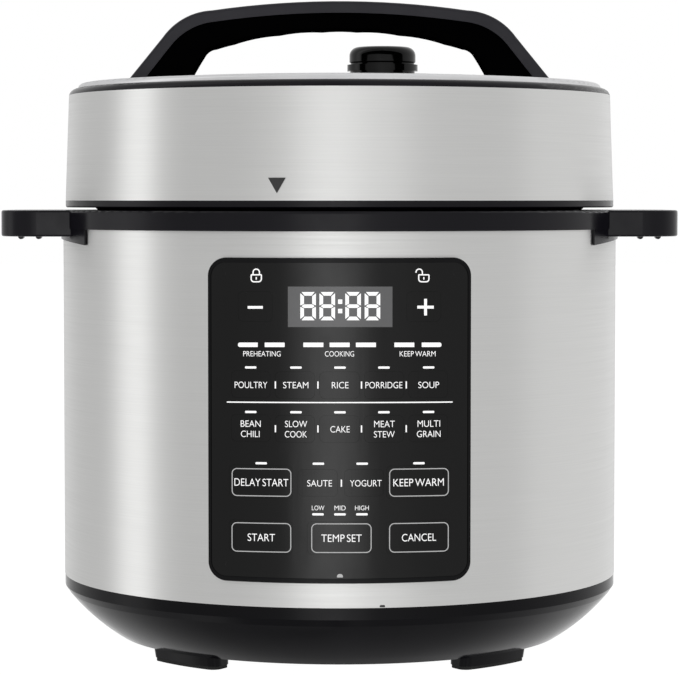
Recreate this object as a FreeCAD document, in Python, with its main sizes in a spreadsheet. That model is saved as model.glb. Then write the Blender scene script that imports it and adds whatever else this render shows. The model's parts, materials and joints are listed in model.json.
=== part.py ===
import FreeCAD
import Part
import math
import os
import re
import sys

import Sketcher
from FreeCAD import Rotation, Vector

# An electric pressure cooker of the six-quart class, built as separate parts in millimetres.
# +Z is up, the control panel faces -Y, and the origin is on the cooker's axis at the floor.

SIZES = {
    # How far a cutting tool stands past what it cuts, and how deep joined solids overlap
    "reach": 5.0,
    "join": 0.4,
    # Steel body sleeve
    "body_radius": 137.0,
    "skin_gauge": 0.6,
    "skin_low": 36.2,
    "skin_high": 206.4,
    "hem_width": 4.0,
    "skin_gap": 0.15,
    # Base housing and what stands under it
    "base_radius": 136.8,
    "band_low": 30.7,
    "step_radius": 134.6,
    "step_low": 27.4,
    "bowl_radius": 110.0,
    "bowl_bulge": 100.0,
    "floor_level": 6.0,
    "base_wall": 2.4,
    "tongue_rise": 9.0,
    "cover_radius": 95.0,
    "cover_gauge": 1.8,
    "ledge_width": 11.0,
    "cover_gap": 0.2,
    "vent_wide": 3.4,
    "vent_length": 22.0,
    "vent_radius": 62.0,
    "foot_outer": 109.5,
    "foot_inner": 95.5,
    "foot_sweep": 23.6,
    "foot_facing": 46.0,
    "foot_end_round": 4.5,
    "foot_taper": 0.8,
    "pad_sweep": 23.0,
    "pad_gauge": 1.6,
    "pad_inset": 0.4,
    # Top collar with its two ears
    "collar_radius": 138.5,
    "collar_top": 215.5,
    "collar_edge": 1.2,
    "collar_gauge": 2.8,
    "groove_low": 210.0,
    "groove_inner": 117.6,
    "groove_outer": 121.2,
    "lip_inner": 115.4,
    "rib_width": 2.4,
    "collar_tongue_low": 200.0,
    "ear_reach": 164.8,
    "ear_half": 48.0,
    "ear_corner": 19.0,
    "ear_low": 202.8,
    "ear_high": 215.5,
    "ear_edge": 1.0,
    "ear_root": 124.0,
    "ear_edge_start": 139.0,
    "saddle_radius": 138.0,
    "saddle_low": 198.5,
    "saddle_high": 215.0,
    "saddle_sweep": 57.4,
    "saddle_arch": 838.0,
    "saddle_arch_high": 201.6,
    "grip_rib_radius": 1.425,
    "grip_rib_drop": 1.5,
    "grip_rib_half": 28.0,
    "grip_rib_long": 5.0,
    "grip_rib_near": 147.0,
    "grip_rib_far": 155.6,
    # Outer pot, heating plate and temperature sensor
    "outer_pot_radius": 114.5,
    "pot_gauge": 1.2,
    "outer_pot_low": 50.0,
    "outer_pot_high": 230.0,
    "outer_pot_corner": 20.0,
    "outer_pot_mouth": 45.0,
    "flange_low": 205.8,
    "flange_gauge": 1.5,
    "flange_radius": 123.0,
    "bayonet_radius": 115.0,
    "bayonet_low": 218.0,
    "lug_radius": 118.0,
    "lug_low": 223.4,
    "lug_gauge": 2.5,
    "lug_sweep": 24.0,
    "lug_lead": 4.3,
    "plate_radius": 82.0,
    "plate_low": 59.0,
    "plate_high": 69.0,
    "plate_rib_inner": 52.0,
    "plate_rib_outer": 66.0,
    "plate_bevel": 2.0,
    "sensor_well": 18.0,
    "terminal_radius": 3.4,
    "terminal_low": 40.0,
    "terminal_spread": 15.0,
    "terminal_depth": 35.0,
    "sensor_radius": 14.0,
    "sensor_gauge": 1.4,
    "sensor_round": 1.0,
    "sensor_skirt": 60.5,
    "sensor_stem": 3.6,
    "sensor_low": 44.0,
    "stem_hole": 4.4,
    "bracket_half": 56.0,
    "bracket_wide": 20.0,
    "bracket_gauge": 1.5,
    "spring_radius": 7.5,
    "spring_wire": 0.7,
    "spring_pitch": 3.0,
    # Inner pot
    "inner_pot_radius": 111.2,
    "inner_pot_corner": 22.0,
    "rim_radius": 115.0,
    "rim_gauge": 1.2,
    # Inner cover and sealing ring
    "cover_plate_low": 240.0,
    "cover_plate_gauge": 1.2,
    "cover_plate_radius": 108.0,
    "cover_plate_hole": 6.2,
    "seal_inner": 103.5,
    "seal_outer": 113.2,
    "seal_low": 231.3,
    "seal_high": 243.2,
    "seal_lip": 2.6,
    "seal_slot": 0.15,
    "shield_radius": 10.0,
    "shield_drop": 9.0,
    "shield_gauge": 0.8,
    "shield_hole": 7.0,
    "slot_pitch": 5.0,
    "slot_half": 1.0,
    # Lid drum
    "lid_radius": 135.75,
    "lid_top_radius": 133.9,
    "trim_low": 216.8,
    "trim_high": 220.2,
    "trim_edge": 0.6,
    "lid_band_high": 271.7,
    "skirt_outer": 120.0,
    "skirt_gauge": 1.4,
    "skirt_low": 211.0,
    "skirt_chamfer": 1.3,
    "top_trim_radius": 129.8,
    "top_trim_high": 275.0,
    "top_trim_round": 4.2,
    "top_trim_wall": 2.2,
    "top_trim_tongue": 3.0,
    "top_plate_radius": 129.6,
    "top_plate_shoulder": 127.1,
    "top_plate_rise": 277.5,
    "top_plate_round": 2.7,
    "dome_high": 281.5,
    "dome_radius": 2034.0,
    "dome_gauge": 2.2,
    "pressure_low": 249.0,
    "pressure_gauge": 1.5,
    "lid_lug_inner": 115.3,
    "lid_lug_low": 220.4,
    "post_radius": 4.0,
    "post_head": 9.0,
    "post_gap": 0.6,
    "post_low": 235.0,
    "post_high": 264.0,
    "nut_radius": 8.0,
    "nut_height": 6.0,
    # Handle
    "handle_half_deep": 18.0,
    "grip_half_deep": 17.4,
    "handle_arch": 437.7,
    "handle_knee": 62.5,
    "handle_knee_high": 313.35,
    "handle_elbow": 86.7,
    "handle_elbow_high": 300.2,
    "handle_bend": 31.5,
    "handle_foot": 105.2,
    "handle_foot_low": 277.5,
    "band_arch": 431.5,
    "band_knee": 61.6,
    "band_knee_high": 307.7,
    "band_elbow": 82.5,
    "band_elbow_high": 296.3,
    "band_bend": 30.8,
    "band_foot": 97.5,
    "palm_knee": 61.7,
    "palm_knee_high": 295.9,
    "palm_corner": 67.3,
    "palm_corner_high": 292.5,
    "palm_bend": 7.1,
    "palm_foot": 75.8,
    "palm_leg": 150.0,
    "ridge_first": 8.6,
    "ridge_first_high": 304.4,
    "ridge_second": 30.0,
    "ridge_second_high": 302.8,
    "ridge_third": 52.9,
    "ridge_third_high": 298.3,
    "finger_radius": 85.0,
    "handle_edge": 1.6,
    "seat_gap": 0.1,
    "handle_screw_across": 84.0,
    "handle_screw_deep": 9.0,
    "handle_screw_high": 288.0,
    "handle_screw_gap": 0.3,
    # Fasteners
    "screw_radius": 2.0,
    "screw_head": 3.8,
    "screw_head_rise": 2.4,
    "screw_inset": 5.0,
    "screw_gap": 0.15,
    # Steam release and float valve
    "valve_across": 22.1,
    "valve_deep": 48.0,
    "pipe_radius": 4.5,
    "pipe_bore": 1.6,
    "pipe_low": 244.5,
    "pipe_high": 292.5,
    "knob_radius": 17.0,
    "knob_flange": 18.1,
    "knob_neck": 10.0,
    "knob_low": 282.2,
    "knob_flange_low": 286.4,
    "knob_flange_high": 289.7,
    "knob_waist": 0.7,
    "knob_high": 298.8,
    "knob_round": 4.5,
    "knob_bore": 5.1,
    "knob_bore_high": 293.5,
    "float_across": -24.0,
    "float_radius": 3.0,
    "float_low": 242.4,
    "float_high": 280.4,
    "float_stop": 5.0,
    "float_stop_gauge": 2.0,
    "float_hole": 3.6,
    # Control panel
    "panel_low": 47.6,
    "panel_high": 194.5,
    "panel_half": 59.7,
    "panel_corner": 8.4,
    "bezel_outer": 138.5,
    "bezel_inner": 137.1,
    "bezel_seat": 137.7,
    "film_inner": 137.75,
    "film_outer": 138.2,
    "film_half": 58.3,
    "film_margin": 2.2,
    "film_corner": 6.5,
    "film_gap": 0.1,
    "window_half": 53.0,
    "window_margin": 3.4,
    "window_corner": 4.0,
    "board_front": -121.0,
    "board_gauge": 1.6,
    "board_half": 52.0,
    "board_margin": 4.0,
    "boss_radius": 2.2,
    "boss_across": 49.6,
    "boss_margin": 7.6,
    "column_pitch": 20.05,
    "bar_level": 155.5,
    "bar_inner": 11.8,
    "bar_near": 29.2,
    "bar_far": 41.2,
    "bar_wide": 9.3,
    "bar_tall": 2.1,
    "light_wide": 5.4,
    "light_tall": 1.3,
    "light_gap": 0.15,
    "guide_gap": 0.05,
    "lights_one": 145.2,
    "lights_two": 125.0,
    "lights_three": 101.9,
    "lights_heat": 79.0,
    "display_half": 23.8,
    "display_low": 163.4,
    "display_high": 182.0,
    "display_front": -134.2,
    # Keys
    "key_inner": 136.9,
    "key_gap": 0.3,
    "key_corner": 2.0,
    "key_travel": 0.4,
    "stem_radius": 2.0,
    "switch_half": 2.6,
    "switch_gauge": 3.0,
    "switch_button": 1.5,
    "switch_button_rise": 0.9,
    "switch_gap": 0.05,
    "preset_wide": 17.2,
    "preset_tall": 11.6,
    "preset_one": 137.3,
    "preset_two": 117.5,
    "preset_three": 93.2,
    "preset_inner": 10.4,
    "preset_shift": 0.6,
    "box_wide": 28.4,
    "box_tall": 14.4,
    "box_across": 35.6,
    "box_row": 68.2,
    "delay_row": 93.2,
    "adjust_across": 38.0,
    "adjust_row": 172.5,
    "adjust_wide": 15.0,
    "adjust_tall": 13.0,
    # Power board and wiring
    "power_low": 20.0,
    "power_gauge": 1.6,
    "power_half": 48.0,
    "power_front": -30.0,
    "power_back": 62.0,
    "standoff_radius": 3.2,
    "standoff_inset": 6.0,
    "relay_rise": 15.5,
    "transformer_rise": 20.0,
    "terminal_block_rise": 11.0,
    "capacitor_radius": 6.5,
    "capacitor_rise": 18.0,
    "fuse_radius": 2.8,
    "fuse_deep": 38.0,
    "wire_radius": 1.1,
    "wire_gap": 0.1,
    "wire_row_front": 51.0,
    "wire_row_back": 55.0,
    "wire_row_half": 11.0,
    "wire_loop": 4.0,
    "ribbon_rise": 6.0,
    "ribbon_front": 2.4,
    "ribbon_back": -26.0,
    "ribbon_pitch": 4.0,
    # Mains inlet
    "inlet_level": 62.0,
    "inlet_half": 24.0,
    "inlet_tall": 26.0,
    "inlet_face": 139.6,
    "inlet_back": 119.5,
    "inlet_wall": 4.0,
    "inlet_body_half": 13.8,
    "inlet_body_tall": 20.0,
    "inlet_mouth_half": 12.2,
    "inlet_mouth_tall": 16.6,
    "inlet_corner": 2.0,
    "inlet_step": 1.0,
    "pin_half": 1.0,
    "pin_tall": 4.0,
    "pin_spread": 7.0,
    "pin_rise": 4.0,
    "pin_tail": 117.0,
    "pin_tip": 133.6,
    # Condensation cup and its bracket
    "cup_half": 24.0,
    "cup_front": 140.2,
    "cup_back": 163.0,
    "cup_low": 152.0,
    "cup_high": 190.0,
    "cup_wall": 1.6,
    "cup_rim": 2.8,
    "cup_rim_gauge": 1.6,
    "rail_gap": 0.4,
    "rail_gauge": 2.0,
    "rail_front": 130.0,
    "rail_roof": 194.0,
    "bracket_plate_low": 178.0,
    "bracket_sweep": 24.0,
    "bracket_plate_outer": 139.4,
    "drip_radius": 4.0,
}

LUG_COUNT = 6
VENT_COUNT = 12
FULL_TURN = 360
NODES = []

doc = FreeCAD.newDocument("PressureCooker")
sheet = doc.addObject("Spreadsheet::Sheet", "Sizes")
for row, (alias, number) in enumerate(SIZES.items(), start=1):
    sheet.set(f"A{row}", alias)
    sheet.set(f"B{row}", str(number))
    sheet.setAlias(f"B{row}", alias)
doc.recompute()


def linked(text):
    """Point each size's name in an expression at the sheet."""
    return re.sub(r"[a-z]\w*", lambda word: f"Sizes.{word[0]}" if word[0] in SIZES else word[0], str(text))


def value(text):
    """Work out an expression of sizes."""
    return float(sheet.evalExpression(linked(text)))


def bind(thing, prop, text):
    """Hold a property to an expression of sizes."""
    thing.setExpression(prop, linked(text))


def node(thing):
    """Mark an object as one of the cooker's parts."""
    NODES.append(thing)
    return thing


# Sketches and the solids made from them


def draw(sketch, points):
    """Draw a closed outline and hold its corners and arcs to the sheet.

    A point is (across, up), or (across, up, radius) where the edge that leaves it is an arc.
    Points run counterclockwise, and a positive radius bulges outwards.
    """
    corners = [Vector(value(point[0]), value(point[1]), 0) for point in points]
    radii = [value(point[2]) if len(point) > 2 else 0 for point in points]
    count = len(points)
    for index, start in enumerate(corners):
        end = corners[(index + 1) % count]
        if radii[index]:
            chord = end - start
            outwards = Vector(chord.y, -chord.x, 0).normalize()
            rise = abs(radii[index]) - math.sqrt(radii[index] ** 2 - chord.Length**2 / 4)
            middle = (start + end) * 0.5 + outwards * math.copysign(rise, radii[index])
            sketch.addGeometry(Part.Arc(start, middle, end))
        else:
            sketch.addGeometry(Part.LineSegment(start, end))
    firsts = [1 if (sketch.getPoint(i, 1) - corners[i]).Length < 1e-6 else 2 for i in range(count)]
    for index in range(count):
        after = (index + 1) % count
        meeting = Sketcher.Constraint("Coincident", index, 3 - firsts[index], after, firsts[after])
        sketch.addConstraint(meeting)
    for index, point in enumerate(points):
        for kind, text in (("DistanceX", point[0]), ("DistanceY", point[1])):
            held = Sketcher.Constraint(kind, -1, 1, index, firsts[index], value(text))
            sketch.setExpression(f"Constraints[{sketch.addConstraint(held)}]", linked(text))
        if radii[index]:
            held = Sketcher.Constraint("Radius", index, abs(radii[index]))
            sketch.setExpression(f"Constraints[{sketch.addConstraint(held)}]", f"abs({linked(point[2])})")


def outline(body, plane, points, shift="0"):
    """Draw an outline in a body, on one of its planes moved along its normal."""
    sketch = body.newObject("Sketcher::SketchObject", f"{body.Name}_outline")
    base = [feature for feature in body.Origin.OriginFeatures if feature.Role == plane][0]
    sketch.AttachmentSupport = [(base, "")]
    sketch.MapMode = "FlatFace"
    bind(sketch, "AttachmentOffset.Base.z", shift)
    draw(sketch, points)
    return sketch


def turned(name, points, sweep=FULL_TURN, facing=0):
    """Turn an outline of (radius, height) about the cooker's axis, centred on a direction."""
    body = doc.addObject("PartDesign::Body", name)
    sketch = outline(body, "XZ_Plane", points)
    turn = body.newObject("PartDesign::Revolution", f"{name}_turn")
    turn.Profile = sketch
    turn.ReferenceAxis = (sketch, ["V_Axis"])
    turn.Midplane = sweep != FULL_TURN
    bind(turn, "Angle", sweep)
    body.Placement.Rotation = Rotation(Vector(0, 0, 1), facing)
    return body


def moved(thing, across="0", deep="0", up="0"):
    """Hold an object's place to the sheet."""
    bind(thing, "Placement.Base.x", across)
    bind(thing, "Placement.Base.y", deep)
    bind(thing, "Placement.Base.z", up)
    return thing


def slab(name, points, front, back):
    """Extrude an outline of (across, height) from front to back along +Y."""
    body = doc.addObject("PartDesign::Body", name)
    sketch = outline(body, "XZ_Plane", points, f"-({back})")
    pad = body.newObject("PartDesign::Pad", f"{name}_pad")
    pad.Profile = sketch
    bind(pad, "Length", f"({back}) - ({front})")
    return body


def plate(name, points, low, high):
    """Extrude an outline of (across, deep) upwards."""
    body = doc.addObject("PartDesign::Body", name)
    sketch = outline(body, "XY_Plane", points, low)
    pad = body.newObject("PartDesign::Pad", f"{name}_pad")
    pad.Profile = sketch
    bind(pad, "Length", f"({high}) - ({low})")
    return body


def round_edges(body, radius, chosen):
    """Fillet the edges of a body that pass a test."""
    doc.recompute()
    tip = body.Tip
    names = [f"Edge{index}" for index, edge in enumerate(tip.Shape.Edges, start=1) if chosen(edge)]
    fillet = body.newObject("PartDesign::Fillet", f"{tip.Name}_fillet")
    fillet.Base = (tip, names)
    bind(fillet, "Radius", radius)
    return body


def flat_at(level):
    """A test for edges that lie at one height."""
    height = value(level)
    return lambda edge: abs(edge.BoundBox.ZMin - height) < 0.01 and abs(edge.BoundBox.ZMax - height) < 0.01


def follows(run):
    """A test for edges that lie along a mirrored run of (across, up) points."""
    corners = [(value(point[0]), value(point[1])) for point in run]

    def near(vertex):
        return min(math.dist((abs(vertex.X), vertex.Z), corner) for corner in corners) < 0.01

    return lambda edge: edge.BoundBox.YLength < 0.01 and all(near(vertex) for vertex in edge.Vertexes)


def rounded_rectangle(across, up, wide, tall, corner):
    """The outline of a rectangle with rounded corners about a centre."""
    left, right = f"{across} - ({wide}) / 2", f"{across} + ({wide}) / 2"
    low, high = f"{up} - ({tall}) / 2", f"{up} + ({tall}) / 2"
    corner = f"({corner})"
    return [
        (f"{left} + {corner}", low),
        (f"{right} - {corner}", low, corner),
        (right, f"{low} + {corner}"),
        (right, f"{high} - {corner}", corner),
        (f"{right} - {corner}", high),
        (f"{left} + {corner}", high, corner),
        (left, f"{high} - {corner}"),
        (left, f"{low} + {corner}", corner),
    ]


# Primitives and what is made by combining solids


def box(name, left, right, front, back, low, high):
    """A block between six planes."""
    block = doc.addObject("Part::Box", name)
    bind(block, "Length", f"({right}) - ({left})")
    bind(block, "Width", f"({back}) - ({front})")
    bind(block, "Height", f"({high}) - ({low})")
    return moved(block, left, front, low)


def rod(name, radius, low, high, across="0", deep="0"):
    """An upright cylinder."""
    cylinder = doc.addObject("Part::Cylinder", name)
    bind(cylinder, "Radius", radius)
    bind(cylinder, "Height", f"({high}) - ({low})")
    return moved(cylinder, across, deep, low)


def rod_across(name, radius, left, right, deep, up):
    """A cylinder along X."""
    cylinder = doc.addObject("Part::Cylinder", name)
    bind(cylinder, "Radius", radius)
    bind(cylinder, "Height", f"({right}) - ({left})")
    cylinder.Placement.Rotation = Rotation(Vector(0, 1, 0), 90)
    return moved(cylinder, left, deep, up)


def rod_back(name, radius, front, back, across, up):
    """A cylinder along Y."""
    cylinder = doc.addObject("Part::Cylinder", name)
    bind(cylinder, "Radius", radius)
    bind(cylinder, "Height", f"({back}) - ({front})")
    cylinder.Placement.Rotation = Rotation(Vector(1, 0, 0), -90)
    return moved(cylinder, across, front, up)


def ball(name, radius, across, deep, up):
    """A sphere, for a wire's bend."""
    sphere = doc.addObject("Part::Sphere", name)
    bind(sphere, "Radius", radius)
    return moved(sphere, across, deep, up)


def together(name, *things):
    """Keep several solids as one part."""
    compound = doc.addObject("Part::Compound", name)
    compound.Links = list(things)
    return compound


def fuse(name, *things):
    """Join solids into one."""
    union = doc.addObject("Part::MultiFuse", name)
    union.Shapes = list(things)
    return union


def cut(name, base, *tools):
    """Take tools away from a base."""
    result = doc.addObject("Part::Cut", name)
    result.Base = base
    result.Tool = tools[0] if len(tools) == 1 else together(f"{name}_tools", *tools)
    return result


def common(name, first, second):
    """Keep what two solids share."""
    result = doc.addObject("Part::Common", name)
    result.Base = first
    result.Tool = second
    return result


def ring(name, inner, outer, low, high):
    """A plain ring about the cooker's axis."""
    return turned(name, [(inner, low), (outer, low), (outer, high), (inner, high)])


def ring_sectors(name, inner, outer, low, high, count, sweep, lead="0"):
    """Equal pieces of a ring, spread evenly round the axis."""
    points = [(inner, low), (outer, low), (outer, high), (inner, high)]
    step = FULL_TURN / count
    return [turned(f"{name}_{i + 1}", points, sweep, i * step + value(lead)) for i in range(count)]


def screw(name, across, deep, head_low, tip):
    """A pan-head screw with its head at the bottom."""
    head_high = f"{head_low} + screw_head_rise"
    head = rod(f"{name}_head", "screw_head", head_low, head_high, across, deep)
    shank = rod(f"{name}_shank", "screw_radius", head_high, tip, across, deep)
    return fuse(name, head, shank)


def mirrored(half):
    """Close a right-hand run of points with its mirror image."""
    left = []
    for index in range(len(half) - 1, -1, -1):
        point = half[index]
        bend = half[index - 1][2:] if index else ()
        left.append((f"-({point[0]})", point[1], *bend))
    return half + left


# Base housing, feet and bottom cover

ledge_inner = "cover_radius - ledge_width"
cover_high = "floor_level + cover_gauge"
ledge_high = f"{cover_high} + base_wall"
tongue_outer = "body_radius - hem_width - skin_gap"
base_shell = turned(
    "base_shell",
    [
        (ledge_inner, cover_high),
        ("cover_radius", cover_high),
        ("cover_radius", "floor_level"),
        ("bowl_radius", "floor_level", "bowl_bulge"),
        ("step_radius", "step_low"),
        ("base_radius", "band_low"),
        ("base_radius", "skin_low"),
        (tongue_outer, "skin_low"),
        (tongue_outer, "skin_low + tongue_rise"),
        (f"{tongue_outer} - base_wall", "skin_low + tongue_rise"),
        (f"{tongue_outer} - base_wall", "band_low"),
        ("bowl_radius - base_wall", ledge_high),
        (ledge_inner, ledge_high),
    ],
)

foot_points = [
    ("foot_inner", "pad_gauge"),
    ("foot_outer - foot_taper", "pad_gauge"),
    ("foot_outer", "floor_level"),
    ("foot_inner", "floor_level"),
]
pad_points = [
    ("foot_inner + pad_inset", "0"),
    ("foot_outer - foot_taper - pad_inset", "0"),
    ("foot_outer - foot_taper - pad_inset", "pad_gauge"),
    ("foot_inner + pad_inset", "pad_gauge"),
]
feet = []
pads = []
for side in (0, 180):
    for turn in (-1, 1):
        facing = side + turn * value("foot_facing")
        foot = turned(f"foot_{len(feet) + 1}", foot_points, "foot_sweep", facing)
        round_edges(foot, "foot_end_round", lambda edge: edge.BoundBox.ZLength > 1)
        feet.append(foot)
        pad = turned(f"pad_{len(pads) + 1}", pad_points, "pad_sweep", facing)
        round_edges(pad, "foot_end_round - pad_inset", lambda edge: edge.BoundBox.ZLength > 1)
        pads.append(pad)
node(together("feet", *feet))
node(together("foot_pads", *pads))

posts = []
cover_bolts = []
screw_holes = []
vents = []
for across in ("-(power_half - standoff_inset)", "power_half - standoff_inset"):
    for deep in ("power_front + standoff_inset", "power_back - standoff_inset"):
        number = len(posts) + 1
        posts.append(rod(f"standoff_{number}", "standoff_radius", cover_high, "power_low", across, deep))
for number in range(1, 5):
    angle = number * FULL_TURN / 4
    across = f"({ledge_inner} + screw_inset) * cos({angle})"
    deep = f"({ledge_inner} + screw_inset) * sin({angle})"
    head_low = "floor_level - screw_head_rise"
    cover_bolts.append(screw(f"cover_screw_{number}", across, deep, head_low, ledge_high))
    hole = rod(f"cover_hole_{number}", "screw_radius + screw_gap", "0", "power_low", across, deep)
    screw_holes.append(hole)
for index in range(VENT_COUNT):
    slot = rounded_rectangle("vent_radius", "0", "vent_length", "vent_wide", "vent_wide / 3")
    vent = plate(f"vent_{index + 1}", slot, "0", "power_low")
    vent.Placement.Rotation = Rotation(Vector(0, 0, 1), (index + 0.5) * FULL_TURN / VENT_COUNT)
    vents.append(vent)
cover_disc = rod("cover_disc", "cover_radius - cover_gap", "floor_level", cover_high)
cover_cut = cut("cover_cut", cover_disc, *screw_holes, *vents)
node(cut("base_housing", base_shell, *screw_holes))
node(fuse("bottom_cover", cover_cut, *posts))
node(together("bottom_screws", *cover_bolts))

# Steel body sleeve, with a window behind the panel and one for the mains inlet

sleeve = turned(
    "sleeve",
    [
        ("body_radius - hem_width", "skin_low"),
        ("body_radius", "skin_low"),
        ("body_radius", "skin_high"),
        ("body_radius - skin_gauge", "skin_high"),
        ("body_radius - skin_gauge", "skin_low + skin_gauge"),
        ("body_radius - hem_width", "skin_low + skin_gauge"),
    ],
)
panel_middle = "(panel_low + panel_high) / 2"
panel_tall = "(panel_high - panel_low)"
window_tall = f"{panel_tall} - window_margin * 2"
panel_window = slab(
    "panel_window",
    rounded_rectangle("0", panel_middle, "window_half * 2", window_tall, "window_corner"),
    "-body_radius - reach",
    "board_front",
)
inlet_window = box(
    "inlet_window",
    "-inlet_body_half - cover_gap",
    "inlet_body_half + cover_gap",
    "inlet_back",
    "body_radius + reach",
    "inlet_level - inlet_body_tall / 2 - cover_gap",
    "inlet_level + inlet_body_tall / 2 + cover_gap",
)
node(cut("body_skin", sleeve, panel_window, inlet_window))

# Top collar with ears, their saddles and grip ribs

collar_ring = turned(
    "collar_ring",
    [
        ("lip_inner", "flange_low + flange_gauge"),
        ("groove_outer + rib_width", "flange_low + flange_gauge"),
        ("groove_outer + rib_width", "collar_top - collar_gauge"),
        ("body_radius - skin_gauge - skin_gap - rib_width", "collar_top - collar_gauge"),
        ("body_radius - skin_gauge - skin_gap - rib_width", "collar_tongue_low"),
        ("body_radius - skin_gauge - skin_gap", "collar_tongue_low"),
        ("body_radius - skin_gauge - skin_gap", "skin_high"),
        ("collar_radius", "skin_high"),
        ("collar_radius", "collar_top - collar_edge", "collar_edge"),
        ("collar_radius - collar_edge", "collar_top"),
        ("groove_outer", "collar_top"),
        ("groove_outer", "groove_low"),
        ("groove_inner", "groove_low"),
        ("groove_inner", "collar_top"),
        ("lip_inner", "collar_top"),
    ],
)
# Each ear is a flat plate on a saddle, whose arched lower edge hangs over the sleeve
ear_points = [
    ("ear_root", "-ear_half"),
    ("ear_reach - ear_corner", "-ear_half", "ear_corner"),
    ("ear_reach", "-ear_half + ear_corner"),
    ("ear_reach", "ear_half - ear_corner", "ear_corner"),
    ("ear_reach - ear_corner", "ear_half"),
    ("ear_root", "ear_half"),
]
saddle_points = [
    ("body_radius + skin_gap", "saddle_low"),
    ("saddle_radius", "saddle_low"),
    ("saddle_radius", "saddle_high"),
    ("body_radius + skin_gap", "saddle_high"),
]
skin_core = rod("skin_core", "body_radius + skin_gap", "0", "dome_high")
arch_level = "saddle_arch_high - saddle_arch"
saddle_arch = rod_across("saddle_arch_tool", "saddle_arch", "-ear_reach", "ear_reach", "0", arch_level)
rib_level = "ear_low - grip_rib_drop + grip_rib_radius"
ear_parts = []
for side, turn in (("right", 0), ("left", 180)):
    ear = plate(f"ear_{side}", ear_points, "ear_low", "ear_high")
    for level in ("ear_low", "ear_high"):
        start = value("ear_edge_start")
        round_edges(ear, "ear_edge", lambda edge: flat_at(level)(edge) and edge.BoundBox.XMax > start)
    ear.Placement.Rotation = Rotation(Vector(0, 0, 1), turn)
    saddle = turned(f"saddle_{side}", saddle_points, "saddle_sweep", turn)
    ear_parts += [cut(f"{side}_ear", ear, skin_core), cut(f"{side}_saddle", saddle, saddle_arch)]
    for across in ("grip_rib_near", "grip_rib_far"):
        place = across if side == "right" else f"-{across}"
        rib_ends = ("-grip_rib_half", "grip_rib_long - grip_rib_half")
        ear_parts.append(rod_back(f"{across}_{side}", "grip_rib_radius", *rib_ends, place, rib_level))
node(fuse("top_collar", collar_ring, *ear_parts))

# Outer pot with its hanging flange and bayonet lugs

pot_low_inner = "outer_pot_low + pot_gauge"
pot_corner_inner = "-(outer_pot_corner - pot_gauge)"
pot_wall = turned(
    "pot_wall",
    [
        ("outer_pot_mouth", "outer_pot_low"),
        ("outer_pot_radius - outer_pot_corner", "outer_pot_low", "outer_pot_corner"),
        ("outer_pot_radius", "outer_pot_low + outer_pot_corner"),
        ("outer_pot_radius", "outer_pot_high"),
        ("outer_pot_radius - pot_gauge", "outer_pot_high"),
        ("outer_pot_radius - pot_gauge", "outer_pot_low + outer_pot_corner", pot_corner_inner),
        ("outer_pot_radius - outer_pot_corner", pot_low_inner),
        ("outer_pot_mouth", pot_low_inner),
    ],
)
wall_bite = "outer_pot_radius - pot_gauge / 2"
pot_flange = ring("pot_flange", wall_bite, "flange_radius", "flange_low", "flange_low + flange_gauge")
pot_bayonet = ring("pot_bayonet", wall_bite, "bayonet_radius", "bayonet_low", "outer_pot_high")
pot_lugs = ring_sectors(
    "pot_lug", wall_bite, "lug_radius", "lug_low", "lug_low + lug_gauge", LUG_COUNT, "lug_sweep"
)
node(fuse("outer_pot", pot_wall, pot_flange, pot_bayonet, *pot_lugs))

# Heating plate on the outer pot's floor, with two terminals

plate_casting = turned(
    "plate_casting",
    [
        ("sensor_well", "plate_low"),
        ("plate_rib_inner", "plate_low"),
        ("plate_rib_inner", pot_low_inner),
        ("plate_rib_outer", pot_low_inner),
        ("plate_rib_outer", "plate_low"),
        ("plate_radius", "plate_low + plate_bevel"),
        ("plate_radius", "plate_high"),
        ("sensor_well", "plate_high"),
    ],
)
terminals = []
terminal_high = "plate_low + join"
for number, across in enumerate(("-terminal_spread", "terminal_spread"), start=1):
    terminals.append(
        rod(f"terminal_{number}", "terminal_radius", "terminal_low", terminal_high, across, "terminal_depth")
    )
node(fuse("heating_plate", plate_casting, *terminals))

# Temperature sensor, sprung on a bracket across the outer pot's mouth

node(
    turned(
        "sensor_cap",
        [
            ("0", "sensor_low"),
            ("sensor_stem", "sensor_low"),
            ("sensor_stem", "plate_high - sensor_gauge"),
            ("sensor_radius - sensor_gauge", "plate_high - sensor_gauge"),
            ("sensor_radius - sensor_gauge", "sensor_skirt"),
            ("sensor_radius", "sensor_skirt"),
            ("sensor_radius", "plate_high - sensor_round", "sensor_round"),
            ("sensor_radius - sensor_round", "plate_high"),
            ("0", "plate_high"),
        ],
    )
)
bracket_strip = box(
    "bracket_strip",
    "-bracket_half",
    "bracket_half",
    "-bracket_wide / 2",
    "bracket_wide / 2",
    "outer_pot_low - bracket_gauge",
    "outer_pot_low",
)
node(cut("sensor_bracket", bracket_strip, rod("stem_clearance", "stem_hole", "terminal_low", "plate_high")))
spring_body = doc.addObject("PartDesign::Body", "sensor_spring")
wire_low = "outer_pot_low + spring_wire"
wire_section = outline(
    spring_body,
    "XZ_Plane",
    [
        ("spring_radius - spring_wire", wire_low, "spring_wire"),
        ("spring_radius", f"{wire_low} - spring_wire", "spring_wire"),
        ("spring_radius + spring_wire", wire_low, "spring_wire"),
        ("spring_radius", f"{wire_low} + spring_wire", "spring_wire"),
    ],
)
coil = spring_body.newObject("PartDesign::AdditiveHelix", "spring_coil")
coil.Profile = wire_section
coil.ReferenceAxis = (wire_section, ["V_Axis"])
coil.Mode = 0
bind(coil, "Pitch", "spring_pitch")
bind(coil, "Height", "plate_high - sensor_gauge - outer_pot_low - spring_wire * 2")
node(spring_body)

# Inner pot: its bottom stands on the heating plate and its rim on the outer pot

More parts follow.
